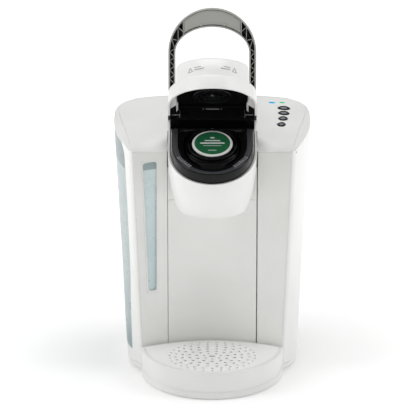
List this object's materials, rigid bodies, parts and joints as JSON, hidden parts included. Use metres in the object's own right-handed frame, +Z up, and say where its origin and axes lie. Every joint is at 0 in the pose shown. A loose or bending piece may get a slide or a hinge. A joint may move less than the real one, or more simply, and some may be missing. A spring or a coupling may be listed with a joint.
{
  "type": "pod coffee machine",
  "caption": "Countertop brewer for single pods with a lift handle, hinged lid, removable side water reservoir, push buttons and a pull-out drip tray.",
  "frame": {"origin": "on the floor under the middle of the bounding box, lid and handle open", "axes": "+Z up, -Y towards the user, +X to the user's right"},
  "size_m": [0.2374, 0.295, 0.4364],
  "materials": {
    "white_plastic": "satin moulded",
    "panel_plastic": "fine matte",
    "black_plastic": "gloss moulded",
    "handle_silver": "silver grey satin",
    "clear_tank": "clear tinted",
    "steel": "brushed",
    "rubber": "matte",
    "silicone": "matte",
    "circuit_board": "solder mask",
    "pod_foil": "printed foil lid",
    "pod_cup": "thin moulded",
    "blue_lens": "translucent",
    "green_lens": "translucent"
  },
  "bodies": {
    "housing": {"base_pan": "white_plastic", "foot_front_left": "rubber", "foot_front_right": "rubber", "foot_rear_left": "rubber", "foot_rear_right": "rubber", "right_side_shell": "white_plastic", "left_frame": "white_plastic", "rear_cover": "white_plastic", "right_front_panel": "panel_plastic", "left_front_panel": "panel_plastic", "slot_bezel": "white_plastic", "center_front_panel": "panel_plastic", "head_back_panel": "panel_plastic", "control_cap": "white_plastic", "water_lens": "blue_lens", "ready_lens": "green_lens", "top_cover": "white_plastic", "brew_cup_shell": "white_plastic", "brew_ring": "black_plastic", "hinge_bracket": "black_plastic", "hinge_pin": "steel", "reservoir_bay_floor": "white_plastic", "reservoir_bay_wall": "white_plastic", "valve_seat": "rubber", "hot_water_tank": "steel", "tank_lid": "black_plastic", "heating_element": "steel", "thermostat": "black_plastic", "thermal_fuse": "silicone", "water_pump": "steel", "air_pump": "black_plastic", "check_valve": "silicone", "vent_valve": "black_plastic", "control_board": "circuit_board", "power_board": "circuit_board", "mains_inlet": "black_plastic", "cold_water_hose": "silicone", "hot_water_hose": "silicone"},
    "handle": {"handle": "handle_silver", "handle_grip": "handle_silver"},
    "lid": {"lid_shell": "white_plastic", "lid_liner": "black_plastic", "pod_press_plate": "black_plastic", "entrance_needle": "steel", "needle_seal": "silicone"},
    "pod_holder": {"pod_holder": "black_plastic", "drip_funnel": "black_plastic", "exit_needle": "steel"},
    "pod": {"pod_cup": "pod_cup", "pod_foil": "pod_foil"},
    "drip_tray": {"drip_tray": "white_plastic"},
    "cup_plate": {"cup_plate": "white_plastic"},
    "reservoir": {"reservoir_tank": "clear_tank", "reservoir_valve": "rubber"},
    "reservoir_lid": {"reservoir_lid": "white_plastic"},
    "power_button": {"power_button": "black_plastic"},
    "large_cup_button": {"large_cup_button": "black_plastic"},
    "medium_cup_button": {"medium_cup_button": "black_plastic"},
    "small_cup_button": {"small_cup_button": "black_plastic"}
  },
  "joints": [
    {"name": "handle_hinge", "type": "hinge", "parent": "housing", "child": "handle", "pos_m": [0, -0.04301, 0.31485], "axis": [1, 0, 0], "range_deg": [0, 124]},
    {"name": "lid_hinge", "type": "hinge", "parent": "housing", "child": "lid", "pos_m": [0, -0.04301, 0.31485], "axis": [1, 0, 0], "range_deg": [0, 58]},
    {"name": "pod_holder_lift", "type": "slide", "parent": "housing", "child": "pod_holder", "axis": [0, 0.4067, -0.9135], "range_m": [-0.012, 0]},
    {"name": "pod_lift", "type": "slide", "parent": "pod_holder", "child": "pod", "axis": [0, 0.4067, -0.9135], "range_m": [-0.02, 0]},
    {"name": "drip_tray_pull", "type": "slide", "parent": "housing", "child": "drip_tray", "axis": [0, -1, 0], "range_m": [0, 0.11]},
    {"name": "cup_plate_lift", "type": "slide", "parent": "drip_tray", "child": "cup_plate", "axis": [0, 0, 1], "range_m": [0, 0.03]},
    {"name": "reservoir_lift", "type": "slide", "parent": "housing", "child": "reservoir", "axis": [0, 0, 1], "range_m": [0, 0.265]},
    {"name": "reservoir_lid_lift", "type": "slide", "parent": "reservoir", "child": "reservoir_lid", "axis": [0, 0, 1], "range_m": [0, 0.05]},
    {"name": "power_button_press", "type": "slide", "parent": "housing", "child": "power_button", "axis": [0, 0.0397, -0.9992], "range_m": [0, 0.0012], "stiffness_N_per_m": 250},
    {"name": "large_cup_button_press", "type": "slide", "parent": "housing", "child": "large_cup_button", "axis": [0, 0.0532, -0.9986], "range_m": [0, 0.0012], "stiffness_N_per_m": 250},
    {"name": "medium_cup_button_press", "type": "slide", "parent": "housing", "child": "medium_cup_button", "axis": [0, 0.067, -0.9978], "range_m": [0, 0.0012], "stiffness_N_per_m": 250},
    {"name": "small_cup_button_press", "type": "slide", "parent": "housing", "child": "small_cup_button", "axis": [0, 0.0814, -0.9967], "range_m": [0, 0.0012], "stiffness_N_per_m": 250}
  ],
  "couplings": [
    {"joint": "lid_hinge", "follows": "handle_hinge", "ratio": 0.46774}
  ]
}
